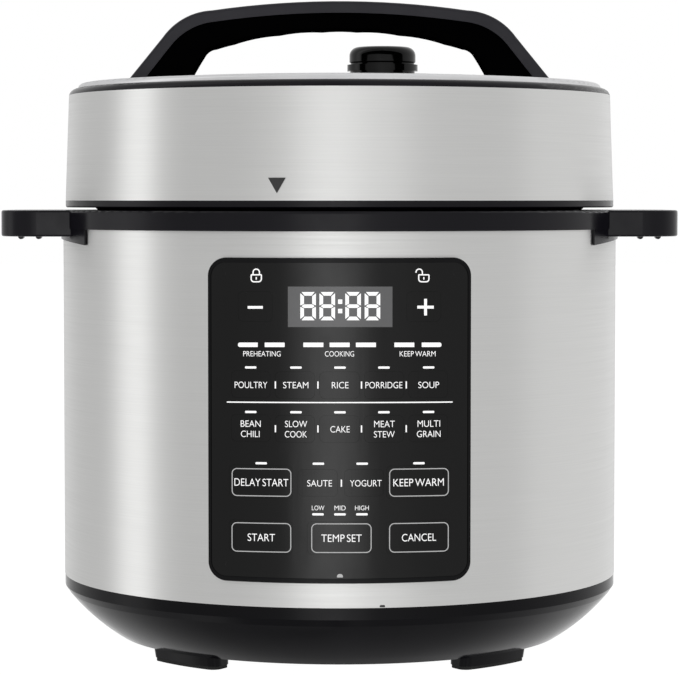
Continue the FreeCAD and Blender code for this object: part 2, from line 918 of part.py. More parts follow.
inner_low = "plate_high + pot_gauge"
rim_high = "outer_pot_high + rim_gauge"
inner_corner = "-(inner_pot_corner - pot_gauge)"
node(
    turned(
        "inner_pot",
        [
            ("0", "plate_high"),
            ("inner_pot_radius - inner_pot_corner", "plate_high", "inner_pot_corner"),
            ("inner_pot_radius", "plate_high + inner_pot_corner"),
            ("inner_pot_radius", "outer_pot_high"),
            ("rim_radius", "outer_pot_high"),
            ("rim_radius", rim_high),
            ("inner_pot_radius - pot_gauge", rim_high),
            ("inner_pot_radius - pot_gauge", "plate_high + inner_pot_corner", inner_corner),
            ("inner_pot_radius - inner_pot_corner", inner_low),
            ("0", inner_low),
        ],
    )
)

# Floating inner cover, its sealing ring and the shield over its steam hole

cover_plate_high = "cover_plate_low + cover_plate_gauge"
inner_disc = ring("inner_disc", "cover_plate_hole", "cover_plate_radius", "cover_plate_low", cover_plate_high)
steam_hole = rod("steam_hole", "shield_hole", "post_low", "pressure_low", "valve_across", "valve_deep")
node(cut("inner_cover", inner_disc, steam_hole))
slot_low = "cover_plate_low - seal_slot"
slot_high = f"{cover_plate_high} + seal_slot"
slot_radius = "cover_plate_radius + seal_slot"
node(
    turned(
        "sealing_ring",
        [
            ("seal_outer - seal_lip", "seal_low"),
            ("seal_outer", "seal_low"),
            ("seal_outer", "seal_high"),
            ("seal_inner", "seal_high"),
            ("seal_inner", slot_high),
            (slot_radius, slot_high),
            (slot_radius, slot_low),
            ("seal_inner", slot_low),
            ("seal_inner", f"{slot_low} - seal_lip"),
            ("seal_outer - seal_lip", f"{slot_low} - seal_lip"),
        ],
    )
)
shield_low = "cover_plate_low - shield_drop"
shield_can = rod("shield_can", "shield_radius", shield_low, "cover_plate_low", "valve_across", "valve_deep")
shield_room = rod(
    "shield_room",
    "shield_radius - shield_gauge",
    f"{shield_low} + shield_gauge",
    "cover_plate_low",
    "valve_across",
    "valve_deep",
)
shield_slots = []
for index, shift in enumerate(("-slot_pitch", "0", "slot_pitch"), start=1):
    shield_slots.append(
        box(
            f"shield_slot_{index}",
            f"valve_across + {shift} - slot_half",
            f"valve_across + {shift} + slot_half",
            "valve_deep - shield_radius - reach",
            "valve_deep + shield_radius + reach",
            f"{shield_low} + shield_gauge * 2",
            "cover_plate_low - shield_gauge * 2",
        )
    )
shield_body = cut("shield_body", shield_can, shield_room)
node(cut("block_shield", shield_body, *shield_slots))

# Lid drum: lower trim with its skirt, steel band, upper trim and domed top plate

skirt_inner = "skirt_outer - skirt_gauge"
node(
    turned(
        "lid_lower_trim",
        [
            (skirt_inner, "skirt_low"),
            ("skirt_outer", "skirt_low"),
            ("skirt_outer", "trim_low - skirt_chamfer"),
            ("skirt_outer + skirt_chamfer", "trim_low"),
            ("lid_radius - trim_edge", "trim_low"),
            ("lid_radius", "trim_low + trim_edge"),
            ("lid_radius", "trim_high"),
            (skirt_inner, "trim_high"),
        ],
    )
)
node(
    turned(
        "lid_band",
        [
            ("lid_radius - skin_gauge", "trim_high"),
            ("lid_radius", "trim_high"),
            ("lid_top_radius", "lid_band_high"),
            ("lid_top_radius - skin_gauge", "lid_band_high"),
        ],
    )
)
node(
    turned(
        "lid_top_trim",
        [
            ("top_plate_radius - top_trim_wall", "lid_band_high - top_trim_tongue"),
            ("lid_top_radius - skin_gauge - skin_gap", "lid_band_high - top_trim_tongue"),
            ("lid_top_radius - skin_gauge - skin_gap", "lid_band_high"),
            ("lid_top_radius", "lid_band_high", "top_trim_round"),
            ("top_trim_radius", "top_trim_high"),
            ("top_plate_radius", "top_trim_high"),
            ("top_plate_radius", "lid_band_high"),
            ("top_plate_radius - top_trim_wall", "lid_band_high"),
        ],
    )
)
dome = turned(
    "dome",
    [
        ("top_plate_radius - seat_gap - dome_gauge", "lid_band_high"),
        ("top_plate_radius - seat_gap", "lid_band_high"),
        ("top_plate_radius - seat_gap", "top_trim_high", "top_plate_round"),
        ("top_plate_shoulder", "top_plate_rise", "dome_radius"),
        ("0", "dome_high"),
        ("0", "dome_high - dome_gauge", "-(dome_radius - dome_gauge)"),
        ("top_plate_shoulder", "top_plate_rise - dome_gauge"),
    ],
)

# The top plate's holes: steam pipe, float pin and the handle's four screws
handle_screws = []
pipe_clear = "pipe_radius + screw_gap"
screw_clear = "screw_radius + screw_gap"
plate_holes = [
    rod("pipe_hole", pipe_clear, "lid_band_high", "knob_high", "valve_across", "valve_deep"),
    rod("float_hole_top", "float_hole", "lid_band_high", "knob_high", "float_across", "valve_deep"),
]
grip_holes = []
dome_drop = "handle_screw_across ^ 2 / (2 * dome_radius)"
for across in ("-handle_screw_across", "handle_screw_across"):
    for deep in ("-handle_screw_deep", "handle_screw_deep"):
        number = len(handle_screws) + 1
        head_high = f"dome_high - dome_gauge - {dome_drop} - handle_screw_gap"
        head_low = f"{head_high} - screw_head_rise"
        handle_screws.append(screw(f"handle_screw_{number}", across, deep, head_low, "handle_screw_high"))
        plate_holes.append(
            rod(f"plate_screw_hole_{number}", screw_clear, "lid_band_high", "dome_high", across, deep)
        )
        hole_high = "handle_screw_high + handle_screw_gap"
        grip_holes.append(rod(f"grip_hole_{number}", screw_clear, "lid_band_high", hole_high, across, deep))
node(cut("lid_top_plate", dome, *plate_holes))

# Pressure plate: a drawn steel cup whose lugs pass under the outer pot's

pressure_high = "pressure_low + pressure_gauge"
pressure_cup = turned(
    "pressure_cup",
    [
        (skirt_inner, "trim_high"),
        ("skirt_outer", "trim_high"),
        ("skirt_outer", pressure_high),
        ("0", pressure_high),
        ("0", "pressure_low"),
        (skirt_inner, "pressure_low"),
    ],
)
lid_lugs = ring_sectors(
    "lid_lug",
    "lid_lug_inner",
    f"{skirt_inner} + skirt_gauge / 2",
    "lid_lug_low",
    "lid_lug_low + lug_gauge",
    LUG_COUNT,
    "lug_sweep",
    "lug_lead",
)
pressure_holes = [
    rod("post_hole", "post_radius + screw_gap", "pressure_low - reach", "post_high"),
    rod("pipe_seat", pipe_clear, "pressure_low - reach", "post_high", "valve_across", "valve_deep"),
    rod("float_hole_low", "float_hole", "pressure_low - reach", "post_high", "float_across", "valve_deep"),
]
pressure_joined = fuse("pressure_joined", pressure_cup, *lid_lugs)
node(cut("lid_pressure_plate", pressure_joined, *pressure_holes))
post_parts = [
    rod("post_button", "post_head", "post_low", "cover_plate_low - post_gap"),
    rod("post_shaft", "post_radius", "cover_plate_low - post_gap", "post_high"),
    rod("post_nut", "nut_radius", pressure_high, f"{pressure_high} + nut_height"),
]
node(fuse("centre_post", *post_parts))

# Handle: an arch with a lighter upper shell over a grip with finger hollows

handle_outer = [
    ("handle_foot", "handle_foot_low"),
    ("handle_elbow", "handle_elbow_high", "handle_bend"),
    ("handle_knee", "handle_knee_high", "handle_arch"),
]
band_inner = [
    ("band_foot", "handle_foot_low"),
    ("band_elbow", "band_elbow_high", "band_bend"),
    ("band_knee", "band_knee_high", "band_arch"),
]
palm = [
    ("palm_foot", "handle_foot_low", "palm_leg"),
    ("palm_corner", "palm_corner_high", "palm_bend"),
    ("palm_knee", "palm_knee_high", "finger_radius"),
    ("ridge_third", "ridge_third_high", "finger_radius"),
    ("ridge_second", "ridge_second_high", "finger_radius"),
    ("ridge_first", "ridge_first_high", "finger_radius"),
]


def returning(run):
    """The mirror of a mirrored run, walked from its far end back to its start."""
    full = mirrored(run)
    back = []
    for index in range(len(full) - 1, -1, -1):
        bend = full[index - 1][2:] if index else ()
        back.append((full[index][0], full[index][1], *(f"-({radius})" for radius in bend)))
    return back


def mirrored_ends(run):
    """A mirrored run whose last point starts a straight edge."""
    full = mirrored(run)
    return full[:-1] + [full[-1][:2]]


dome_tool = turned(
    "dome_tool",
    [
        ("0", "lid_band_high"),
        ("top_plate_radius", "lid_band_high"),
        ("top_plate_radius", "top_plate_rise + seat_gap"),
        ("top_plate_shoulder", "top_plate_rise + seat_gap", "dome_radius"),
        ("0", "dome_high + seat_gap"),
    ],
)
shell_points = mirrored_ends(handle_outer) + returning(band_inner)
grip_points = mirrored_ends(band_inner) + returning(palm)
shell_block = slab("shell_block", shell_points, "-handle_half_deep", "handle_half_deep")
grip_block = slab("grip_block", grip_points, "-grip_half_deep", "grip_half_deep")
round_edges(shell_block, "handle_edge", follows(handle_outer))
node(cut("handle_shell", shell_block, dome_tool))
node(cut("handle_grip", grip_block, dome_tool, *grip_holes))
node(together("handle_screws", *handle_screws))

# Steam pipe, release knob and float pin

nut_high = f"{pressure_high} + nut_height"
pipe_outer = rod("pipe_outer", "pipe_radius", "pipe_low", "pipe_high", "valve_across", "valve_deep")
pipe_nut = rod("pipe_nut", "nut_radius", pressure_high, nut_high, "valve_across", "valve_deep")
bore_ends = ("pipe_low - reach", "pipe_high + reach")
pipe_bore = rod("pipe_bore_hole", "pipe_bore", *bore_ends, "valve_across", "valve_deep")
pipe_joined = fuse("pipe_joined", pipe_outer, pipe_nut)
node(cut("steam_pipe", pipe_joined, pipe_bore))
knob = turned(
    "steam_knob",
    [
        ("knob_bore", "knob_low"),
        ("knob_neck", "knob_low"),
        ("knob_neck", "knob_flange_low"),
        ("knob_flange", "knob_flange_low"),
        ("knob_flange", "knob_flange_high"),
        ("knob_radius - knob_waist", "knob_flange_high"),
        ("knob_radius - knob_waist", "knob_flange_high + knob_waist"),
        ("knob_radius", "knob_flange_high + knob_waist * 2"),
        ("knob_radius", "knob_high - knob_round", "knob_round"),
        ("knob_radius - knob_round", "knob_high"),
        ("0", "knob_high"),
        ("0", "knob_bore_high"),
        ("knob_bore", "knob_bore_high"),
    ],
)
node(moved(knob, "valve_across", "valve_deep"))
float_pin = turned(
    "float_pin",
    [
        ("0", "float_low"),
        ("float_stop", "float_low"),
        ("float_stop", "float_low + float_stop_gauge"),
        ("float_radius", "float_low + float_stop_gauge"),
        ("float_radius", pressure_high),
        ("float_stop", pressure_high),
        ("float_stop", f"{pressure_high} + float_stop_gauge"),
        ("float_radius", f"{pressure_high} + float_stop_gauge"),
        ("float_radius", "float_high"),
        ("0", "float_high"),
    ],
)
node(moved(float_pin, "float_across", "valve_deep"))

# Control panel: every shape is cut from a tube, so that it follows the sleeve

BARS = ["-bar_far", "-bar_near", "-bar_inner", "0", "bar_inner", "bar_near", "bar_far"]
LIGHTS = (
    [(f"{column} * column_pitch", level) for level in ("lights_one", "lights_two") for column in range(-2, 3)]
    + [(across, "lights_three") for across in ("-box_across", "-preset_inner", "preset_inner", "box_across")]
    + [(across, "lights_heat") for across in ("-preset_inner", "0", "preset_inner")]
)
KEYS = [
    ("key_minus", "-adjust_across", "adjust_row", "adjust_wide", "adjust_tall"),
    ("key_plus", "adjust_across", "adjust_row", "adjust_wide", "adjust_tall"),
    ("key_poultry", "-2 * column_pitch", "preset_one", "preset_wide", "preset_tall"),
    ("key_steam", "-column_pitch", "preset_one", "preset_wide", "preset_tall"),
    ("key_rice", "0", "preset_one", "preset_wide", "preset_tall"),
    ("key_porridge", "column_pitch", "preset_one", "preset_wide", "preset_tall"),
    ("key_soup", "2 * column_pitch", "preset_one", "preset_wide", "preset_tall"),
    ("key_bean_chili", "-2 * column_pitch", "preset_two", "preset_wide", "preset_tall"),
    ("key_slow_cook", "-column_pitch", "preset_two", "preset_wide", "preset_tall"),
    ("key_cake", "0", "preset_two", "preset_wide", "preset_tall"),
    ("key_meat_stew", "column_pitch", "preset_two", "preset_wide", "preset_tall"),
    ("key_multi_grain", "2 * column_pitch", "preset_two", "preset_wide", "preset_tall"),
    ("key_delay_start", "-box_across", "delay_row", "box_wide", "box_tall"),
    ("key_saute", "preset_shift - preset_inner", "preset_three", "preset_wide", "preset_tall"),
    ("key_yogurt", "preset_shift + preset_inner", "preset_three", "preset_wide", "preset_tall"),
    ("key_keep_warm", "box_across", "delay_row", "box_wide", "box_tall"),
    ("key_start", "-box_across", "box_row", "box_wide", "box_tall"),
    ("key_temp_set", "0", "box_row", "box_wide", "box_tall"),
    ("key_cancel", "box_across", "box_row", "box_wide", "box_tall"),
]
panel_front = "-bezel_outer - reach"
board_low = "panel_low + board_margin"
board_high = "panel_high - board_margin"


def light_blocks(name, margin):
    """A block for each bar and light, from the board out past the panel."""
    blocks = []
    marks = [(across, "bar_level", "bar_wide", "bar_tall") for across in BARS]
    marks += [(across, level, "light_wide", "light_tall") for across, level in LIGHTS]
    for index, (across, level, wide, tall) in enumerate(marks, start=1):
        blocks.append(
            box(
                f"{name}_{index}",
                f"{across} - {wide} / 2 - {margin}",
                f"{across} + {wide} / 2 + {margin}",
                panel_front,
                "board_front",
                f"{level} - {tall} / 2 - {margin}",
                f"{level} + {tall} / 2 + {margin}",
            )
        )
    return blocks


key_holes = []
switches = []
for name, across, level, wide, tall in KEYS:
    key_outline = rounded_rectangle(across, level, wide, tall, "key_corner")
    hole_outline = rounded_rectangle(
        across, level, f"{wide} + key_gap * 2", f"{tall} + key_gap * 2", "key_corner + key_gap"
    )
    key_holes.append(slab(f"{name}_hole", hole_outline, panel_front, "board_front"))
    block = slab(f"{name}_block", key_outline, panel_front, "board_front")
    tube = ring(f"{name}_tube", "key_inner", "film_outer", "panel_low", "panel_high")
    tile = common(f"{name}_tile", block, tube)
    button_front = "board_front - switch_gauge - switch_button_rise"
    stem = rod_back(
        f"{name}_stem",
        "stem_radius",
        f"-sqrt(key_inner ^ 2 - ({across}) ^ 2) - join",
        f"{button_front} - key_travel - switch_gap",
        across,
        level,
    )
    node(fuse(name, tile, stem))
    case = box(
        f"{name}_switch_case",
        f"{across} - switch_half",
        f"{across} + switch_half",
        "board_front - switch_gauge",
        "board_front",
        f"{level} - switch_half",
        f"{level} + switch_half",
    )
    button = rod_back(
        f"{name}_switch_button", "switch_button", button_front, "board_front - switch_gauge", across, level
    )
    switches.append(fuse(f"{name}_switch", case, button))

bezel_tube = ring("bezel_tube", "bezel_inner", "bezel_outer", "panel_low", "panel_high")
pocket_tube = ring("pocket_tube", "bezel_seat", "bezel_outer + reach", "panel_low", "panel_high")
film_tube = ring("film_tube", "film_inner", "film_outer", "panel_low", "panel_high")
film_tall = f"({panel_tall} - film_margin * 2)"
bezel_block = slab(
    "bezel_block",
    rounded_rectangle("0", panel_middle, "panel_half * 2", panel_tall, "panel_corner"),
    panel_front,
    "board_front",
)
pocket_tall = f"{film_tall} + film_gap * 2"
pocket_corner = "film_corner + film_gap"
pocket_block = slab(
    "pocket_block",
    rounded_rectangle("0", panel_middle, "(film_half + film_gap) * 2", pocket_tall, pocket_corner),
    panel_front,
    "board_front",
)
film_block = slab(
    "film_block",
    rounded_rectangle("0", panel_middle, "film_half * 2", film_tall, "film_corner"),
    panel_front,
    "board_front",
)
bezel_blank = common("bezel_blank", bezel_block, bezel_tube)
pocket = common("pocket", pocket_block, pocket_tube)
display_hole = box(
    "display_hole", "-display_half", "display_half", panel_front, "board_front", "display_low", "display_high"
)
bosses = []
for across in ("-boss_across", "boss_across"):
    for level in ("panel_low + boss_margin", "panel_high - boss_margin"):
        front = "-sqrt(bezel_inner ^ 2 - boss_across ^ 2) - join"
        bosses.append(rod_back(f"boss_{len(bosses) + 1}", "boss_radius", front, "board_front", across, level))
bezel_pocketed = cut("bezel_pocketed", bezel_blank, pocket)
light_slots = light_blocks("light_slot", "light_gap")
bezel_cut = cut("bezel_cut", bezel_pocketed, display_hole, *light_slots, *key_holes)
node(fuse("panel_bezel", bezel_cut, *bosses))
film_blank = common("film_blank", film_block, film_tube)
node(cut("panel_film", film_blank, *key_holes))

node(
    box(
        "control_board",
        "-board_half",
        "board_half",
        "board_front",
        "board_front + board_gauge",
        board_low,
        board_high,
    )
)
node(together("tact_switches", *switches))
node(
    box(
        "display_module",
        "-display_half",
        "display_half",
        "display_front",
        "board_front",
        "display_low",
        "display_high",
    )
)
guide_core = rod("guide_core", "bezel_seat - guide_gap", "panel_low", "panel_high")
node(common("light_guides", together("guide_blocks", *light_blocks("guide", "0")), guide_core))

# Mains inlet and its pins

inlet_points = rounded_rectangle("0", "inlet_level", "inlet_half * 2", "inlet_tall", "inlet_corner")
inlet_flange = cut(
    "inlet_flange",
    slab("inlet_face_plate", inlet_points, "body_radius - inlet_wall", "inlet_face"),
    rod("inlet_core", "body_radius + skin_gap", "0", "skin_high"),
)
inlet_body = box(
    "inlet_body",
    "-inlet_body_half",
    "inlet_body_half",
    "inlet_back",
    "inlet_face - inlet_step",
    "inlet_level - inlet_body_tall / 2",
    "inlet_level + inlet_body_tall / 2",
)
inlet_mouth = slab(
    "inlet_mouth",
    rounded_rectangle("0", "inlet_level", "inlet_mouth_half * 2", "inlet_mouth_tall", "inlet_corner"),
    "inlet_back + inlet_wall",
    "inlet_face + reach",
)


def inlet_pins(name, back):
    """The three blades, as pins or as the holes that hold them."""
    blades = []
    places = [("-pin_spread", "0"), ("0", "pin_rise"), ("pin_spread", "0")]
    for number, (across, rise) in enumerate(places, start=1):
        blades.append(
            box(
                f"{name}_{number}",
                f"{across} - pin_half",
                f"{across} + pin_half",
                "pin_tail",
                back,
                f"inlet_level - pin_tall / 2 + {rise}",
                f"inlet_level + pin_tall / 2 + {rise}",
            )
        )
    return blades


inlet_joined = fuse("inlet_joined", inlet_flange, inlet_body)
node(cut("mains_inlet", inlet_joined, inlet_mouth, *inlet_pins("pin_hole", "inlet_back + inlet_wall + join")))
node(together("inlet_pins", *inlet_pins("pin", "pin_tip")))

# Power board, its components and the wiring

power_high = "power_low + power_gauge"
node(box("power_board", "-power_half", "power_half", "power_front", "power_back", "power_low", power_high))
relay = box("relay", "18", "38", "28", "44", power_high, f"{power_high} + relay_rise")
transformer = box("transformer", "-40", "-10", "-4", "24", power_high, f"{power_high} + transformer_rise")
block_high = f"{power_high} + terminal_block_rise"
terminal_block = box("terminal_block", "-14", "14", "48", "59", power_high, block_high)
capacitor = rod("capacitor", "capacitor_radius", power_high, f"{power_high} + capacitor_rise", "30", "-8")
fuse_level = f"{power_high} + fuse_radius"
fuse_holder = rod_across("fuse_holder", "fuse_radius", "-36", "-16", "fuse_deep", fuse_level)
node(together("power_components", relay, transformer, terminal_block, capacitor, fuse_holder))


def wire(name, stops):
    """A wire through stops, each run along one axis, with a ball at each bend."""
    runs = []
    for index, (start, end) in enumerate(zip(stops, stops[1:])):
        label = f"{name}_run_{index + 1}"
        if start[0] != end[0]:
            left, right = sorted((start[0], end[0]))
            runs.append(rod_across(label, "wire_radius", left, right, start[1], start[2]))
        elif start[1] != end[1]:
            front, back = sorted((start[1], end[1]))
            runs.append(rod_back(label, "wire_radius", front, back, start[0], start[2]))
        else:
            low, high = sorted((start[2], end[2]))
            runs.append(rod(label, "wire_radius", low, high, start[0], start[1]))
        if index:
            runs.append(ball(f"{name}_bend_{index}", "wire_radius", *start))
    return fuse(name, *runs)


block_top = value(block_high)
loop_low = value(f"{block_high} + wire_loop")
row_front = value("wire_row_front")
row_back = value("wire_row_back")
wires = []
for number, side in enumerate((-1, 0, 1), start=1):
    across = side * value("pin_spread")
    tail = value("pin_tail - wire_radius - wire_gap")
    top = value("inlet_level") if side else value("inlet_level + pin_rise")
    stops = [(across, tail, top), (across, tail, loop_low)]
    stops += [(across, row_back, loop_low), (across, row_back, block_top)]
    wires.append(wire(f"mains_wire_{number}", stops))
for number, side in enumerate((-1, 1), start=1):
    across = side * value("terminal_spread")
    end = side * value("wire_row_half")
    low = value("terminal_low - wire_radius - wire_gap")
    stops = [(across, value("terminal_depth"), low), (across, row_front, low)]
    stops += [(end, row_front, low), (end, row_front, block_top)]
    wires.append(wire(f"heater_wire_{number}", stops))
board_back = value("board_front + board_gauge")
ribbon_turn = value("board_front + board_gauge + ribbon_front")
ribbon_end = value("ribbon_back")
ribbon_high = value(f"{board_low} + ribbon_rise")
ribbon_low = value(f"{power_high} + ribbon_rise")
for number in range(-2, 2):
    across = (number + 0.5) * value("ribbon_pitch")
    stops = [(across, board_back, ribbon_high), (across, ribbon_turn, ribbon_high)]
    stops += [(across, ribbon_turn, ribbon_low), (across, ribbon_end, ribbon_low)]
    stops.append((across, ribbon_end, value(power_high)))
    wires.append(wire(f"ribbon_wire_{number + 3}", stops))
node(together("wiring", *wires))

# Condensation cup on its rails at the back

rail_outer = "cup_half + cup_rim + rail_gap + rail_gauge"
rim_low = "cup_high - cup_rim_gauge"
rail_high = "rail_roof + rail_gauge"
rail_ends = ("rail_front", "cup_back")
bracket_plate = turned(
    "bracket_shell",
    [
        ("body_radius + skin_gap", "bracket_plate_low"),
        ("bracket_plate_outer", "bracket_plate_low"),
        ("bracket_plate_outer", rail_high),
        ("body_radius + skin_gap", rail_high),
    ],
    "bracket_sweep",
    90,
)
bracket_core = rod("bracket_core", "body_radius + skin_gap", "0", "dome_high")
rail_parts = [box("rail_roof_plate", f"-({rail_outer})", rail_outer, *rail_ends, "rail_roof", rail_high)]
for side in (-1, 1):
    name = "right" if side > 0 else "left"
    wall = sorted((f"{side} * ({rail_outer})", f"{side} * ({rail_outer} - rail_gauge)"), key=value)
    lip = sorted((f"{side} * ({rail_outer})", f"{side} * (cup_half + rail_gap)"), key=value)
    lip_low = f"{rim_low} - rail_gap - rail_gauge"
    rail_parts.append(box(f"rail_wall_{name}", *wall, *rail_ends, lip_low, rail_high))
    rail_parts.append(box(f"rail_lip_{name}", *lip, *rail_ends, lip_low, f"{rim_low} - rail_gap"))
rail_joined = fuse("rail_joined", *rail_parts)
rail_cut = cut("rail_cut", rail_joined, bracket_core)
drip_hole = rod("drip_hole", "drip_radius", "cup_low", "skin_high", "0", "(cup_front + cup_back) / 2")
bracket_joined = fuse("bracket_joined", rail_cut, bracket_plate)
node(cut("cup_bracket", bracket_joined, drip_hole))

cup_outer = box("cup_outer", "-cup_half", "cup_half", "cup_front", "cup_back", "cup_low", "cup_high")
cup_lip = box(
    "cup_lip", "-cup_half - cup_rim", "cup_half + cup_rim", "cup_front", "cup_back", rim_low, "cup_high"
)
cup_room = box(
    "cup_room",
    "-cup_half + cup_wall",
    "cup_half - cup_wall",
    "cup_front + cup_wall",
    "cup_back - cup_wall",
    "cup_low + cup_wall",
    "cup_high + reach",
)
node(cut("condensation_cup", fuse("cup_joined", cup_outer, cup_lip), cup_room))

# Check every object, then write one file for each part

doc.recompute()
for thing in doc.Objects:
    if "Invalid" in thing.State or "Error" in thing.State:
        sys.exit(f"{thing.Name} did not recompute: {thing.State}")
os.makedirs("parts", exist_ok=True)
for thing in NODES:
    thing.Label = thing.Name
    if thing.Shape.isNull() or not thing.Shape.isValid() or not thing.Shape.Solids:
        sys.exit(f"{thing.Name} has no valid solid")
    thing.Shape.exportStep(f"parts/{thing.Name}.step")
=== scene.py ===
"""Looks for an electric pressure cooker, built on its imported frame. Lengths are in metres."""

import json
import math

import bmesh
import bpy
from mathutils import Matrix, Vector


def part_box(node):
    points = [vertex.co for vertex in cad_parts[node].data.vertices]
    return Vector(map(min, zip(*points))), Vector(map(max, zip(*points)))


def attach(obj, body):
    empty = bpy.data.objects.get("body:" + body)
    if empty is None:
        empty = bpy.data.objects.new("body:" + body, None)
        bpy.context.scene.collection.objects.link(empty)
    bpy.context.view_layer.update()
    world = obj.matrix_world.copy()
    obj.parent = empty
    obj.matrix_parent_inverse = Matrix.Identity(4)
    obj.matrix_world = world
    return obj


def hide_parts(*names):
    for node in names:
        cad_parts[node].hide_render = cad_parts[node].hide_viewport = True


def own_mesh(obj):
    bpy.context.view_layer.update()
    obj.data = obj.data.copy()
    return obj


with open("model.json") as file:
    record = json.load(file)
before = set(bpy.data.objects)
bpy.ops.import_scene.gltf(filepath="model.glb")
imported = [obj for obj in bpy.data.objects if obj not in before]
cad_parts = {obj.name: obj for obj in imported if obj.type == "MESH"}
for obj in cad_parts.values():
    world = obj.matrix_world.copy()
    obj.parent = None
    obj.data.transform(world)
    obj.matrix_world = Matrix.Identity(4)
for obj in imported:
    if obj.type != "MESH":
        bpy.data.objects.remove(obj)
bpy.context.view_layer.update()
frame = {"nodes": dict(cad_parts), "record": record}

MM = 0.001
scene = bpy.context.scene


# Nodes of a material


class Nodes:
    """A short way to add and join shader nodes."""

    def __init__(self, tree):
        self.tree = tree
        self.tree.nodes.clear()

    def add(self, kind, **settings):
        made = self.tree.nodes.new(kind)
        for name, setting in settings.items():
            setattr(made, name, setting)
        return made

    def join(self, start, end):
        self.tree.links.new(start, end)

    def stretched(self, scale):
        """The row frame's coordinates, stretched by a scale for each axis."""
        place = self.add("ShaderNodeTexCoord")
        stretch = self.add("ShaderNodeMapping")
        stretch.inputs["Scale"].default_value = scale
        self.join(place.outputs["Object"], stretch.inputs["Vector"])
        return stretch.outputs["Vector"]

    def noise(self, scale, detail=3.0, stretch=(1, 1, 1)):
        """Smooth noise between 0 and 1."""
        made = self.add("ShaderNodeTexNoise")
        made.inputs["Scale"].default_value = scale
        made.inputs["Detail"].default_value = detail
        self.join(self.stretched(stretch), made.inputs["Vector"])
        return made.outputs["Fac"]

    def ranged(self, source, low, high, start=0.3, end=0.7):
        """Map a value that runs from start to end onto low to high."""
        made = self.add("ShaderNodeMapRange")
        made.inputs["From Min"].default_value = start
        made.inputs["From Max"].default_value = end
        made.inputs["To Min"].default_value = low
        made.inputs["To Max"].default_value = high
        self.join(source, made.inputs["Value"])
        return made.outputs["Result"]

    def blend(self, source, first, second):
        """Mix two colours by a value between 0 and 1."""
        made = self.add("ShaderNodeMix", data_type="RGBA")
        made.inputs["A"].default_value = (*first, 1)
        made.inputs["B"].default_value = (*second, 1)
        self.join(source, made.inputs["Factor"])
        return made.outputs["Result"]

    def math(self, operation, first, second):
        """Combine two values."""
        made = self.add("ShaderNodeMath", operation=operation)
        for index, source in enumerate((first, second)):
            if isinstance(source, (int, float)):
                made.inputs[index].default_value = source
            else:
                self.join(source, made.inputs[index])
        return made.outputs[0]

    def bump(self, source, distance, strength=1.0):
        """Raise the surface by a value."""
        made = self.add("ShaderNodeBump")
        made.inputs["Strength"].default_value = strength
        made.inputs["Distance"].default_value = distance
        self.join(source, made.inputs["Height"])
        return made.outputs["Normal"]


def shader(name, **fixed):
    """A new material with a Principled shader and its fixed values."""
    made = bpy.data.materials.new(name)
    made.use_nodes = True
    nodes = Nodes(made.node_tree)
    surface = nodes.add("ShaderNodeBsdfPrincipled")
    output = nodes.add("ShaderNodeOutputMaterial")
    nodes.join(surface.outputs["BSDF"], output.inputs["Surface"])
    for socket, setting in fixed.items():
        surface.inputs[socket.replace("_", " ")].default_value = setting
    return made, nodes, surface


def moulded(name, dark, light, rough, grain, relief, specular=0.5, **fixed):
    """Moulded plastic or rubber: a fine grain, and slow drifts of colour and of polish."""
    made, nodes, surface = shader(name, Specular_IOR_Level=specular, **fixed)
    colour = nodes.blend(nodes.ranged(nodes.noise(24, 4), 0, 1), dark, light)
    nodes.join(colour, surface.inputs["Base Color"])
    polish = nodes.ranged(nodes.noise(90, 5), rough - 0.05, rough + 0.05)
    nodes.join(polish, surface.inputs["Roughness"])
    nodes.join(nodes.bump(nodes.noise(grain, 2), relief), surface.inputs["Normal"])
    return made


def brushed(name, tone, rough, pitch, length, depth=0.022, relief=0.000001, turn=0.25, anisotropic=0.85):
    """Metal brushed round the cooker's axis, in streaks of a pitch along Z and a length round it."""
    made, nodes, surface = shader(name, Metallic=1.0, Anisotropic=anisotropic, Anisotropic_Rotation=turn)
    fine = nodes.noise(1.0, 3, (1 / length, 1 / length, 1 / pitch))
    finer = nodes.noise(1.0, 2, (2.5 / length, 2.5 / length, 2 / pitch))
    streak = nodes.ranged(nodes.math("ADD", fine, finer), 0, 1, 0.65, 1.35)
    low = tuple(part * (1 - depth) for part in tone)
    high = tuple(part * (1 + depth) for part in tone)
    nodes.join(nodes.blend(streak, low, high), surface.inputs["Base Color"])
    nodes.join(nodes.ranged(streak, rough + 0.04, rough - 0.04, 0, 1), surface.inputs["Roughness"])
    nodes.join(nodes.bump(streak, relief), surface.inputs["Normal"])
    around = nodes.add("ShaderNodeTangent", direction_type="RADIAL", axis="Z")
    nodes.join(around.outputs["Tangent"], surface.inputs["Tangent"])
    return made


def metal(name, tone, rough, grain, relief):
    """Cast, drawn or plated metal with a slow drift of polish."""
    made, nodes, surface = shader(name, Metallic=1.0)
    low = tuple(part * 0.9 for part in tone)
    colour = nodes.blend(nodes.ranged(nodes.noise(40, 4), 0, 1), low, tone)
    nodes.join(colour, surface.inputs["Base Color"])
    polish = nodes.ranged(nodes.noise(120, 4), rough - 0.06, rough + 0.06)
    nodes.join(polish, surface.inputs["Roughness"])
    nodes.join(nodes.bump(nodes.noise(grain, 3), relief), surface.inputs["Normal"])
    return made


def glowing(name, tone, strength):
    """A lit window, or ink with a painted glow: an emission that makes it a little brighter than its
    surroundings.
    """
    made, nodes, surface = shader(name, Roughness=0.45, Emission_Strength=strength)
    colour = nodes.blend(nodes.noise(900, 2), tuple(part * 0.94 for part in tone), tone)
    nodes.join(colour, surface.inputs["Base Color"])
    nodes.join(colour, surface.inputs["Emission Color"])
    return made


